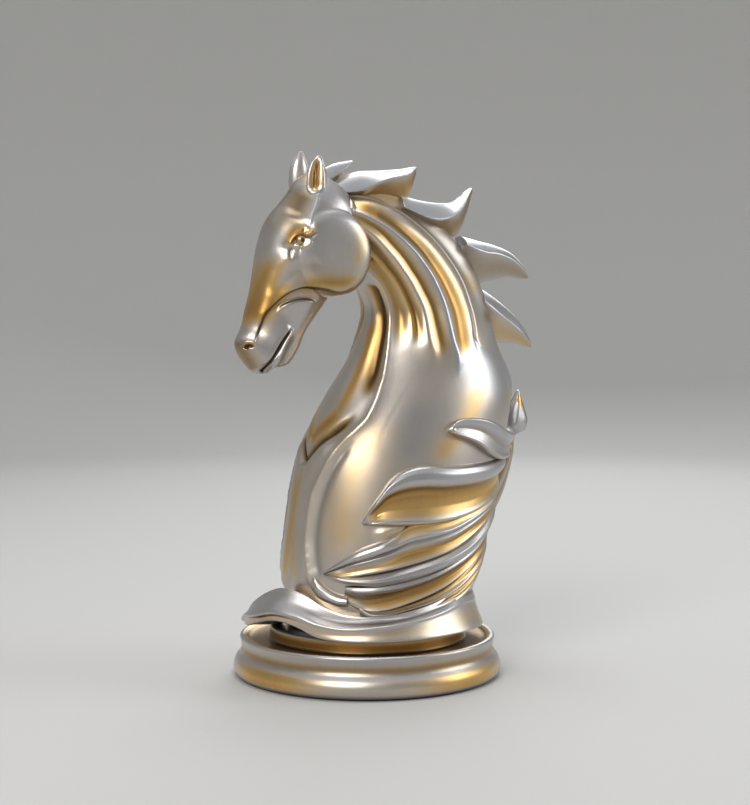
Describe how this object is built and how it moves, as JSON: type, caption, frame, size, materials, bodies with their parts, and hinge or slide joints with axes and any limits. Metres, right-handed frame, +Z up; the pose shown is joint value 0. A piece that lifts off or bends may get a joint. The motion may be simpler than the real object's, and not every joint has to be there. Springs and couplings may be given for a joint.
{
  "type": "horse head chess piece",
  "caption": "Horse-head chess knight ornament on a round turned plinth, hollow metal-finished resin castings with a flowing mane and a draped robe",
  "frame": {"origin": "middle of the felt pad's underside, on the plinth's axis", "axes": "+Z up along the plinth's axis, -X the way the horse looks, -Y the horse's left side"},
  "size_m": [0.2074, 0.165, 0.319],
  "materials": {
    "body_resin": "cast resin with a brushed silver and pale gold metal paint, satin lacquer",
    "mane_resin": "cast resin with silver metal paint, gold rubbed into the hollows",
    "robe_resin": "cast resin, silver on the edges of the folds and gold in the hollows",
    "plinth_resin": "cast resin with silver and gold metal paint, satin lacquer",
    "core_fill": "foamed casting filler, bare",
    "ballast": "bare cast iron",
    "board": "plain hardboard",
    "steel": "zinc-plated steel",
    "felt": "black felt"
  },
  "bodies": {
    "root": {"felt_pad": "felt", "base_cover": "board", "cover_screws": "steel", "ballast_ring": "ballast", "plinth": "plinth_resin", "body_screws": "steel", "neck_plug": "board", "neck_core": "core_fill", "neck_shell": "body_resin", "head": "body_resin", "head_dowels": "steel", "left_ear": "body_resin", "right_ear": "body_resin", "mane_crest": "mane_resin", "poll_tuft": "mane_resin", "mane_lock_1": "mane_resin", "mane_lock_2": "mane_resin", "mane_lock_3": "mane_resin", "mane_lock_4": "mane_resin", "robe_skirt": "robe_resin", "left_hem_roll": "robe_resin", "left_fold_1": "robe_resin", "left_fold_2": "robe_resin", "left_fold_3": "robe_resin", "left_fold_4": "robe_resin", "left_fold_5": "robe_resin", "right_fold_1": "robe_resin", "right_fold_2": "robe_resin", "right_fold_3": "robe_resin", "right_fold_4": "robe_resin", "right_fold_5": "robe_resin", "left_leaf": "robe_resin", "right_leaf": "robe_resin", "robe_knot": "robe_resin", "robe_finial": "robe_resin"}
  },
  "joints": []
}
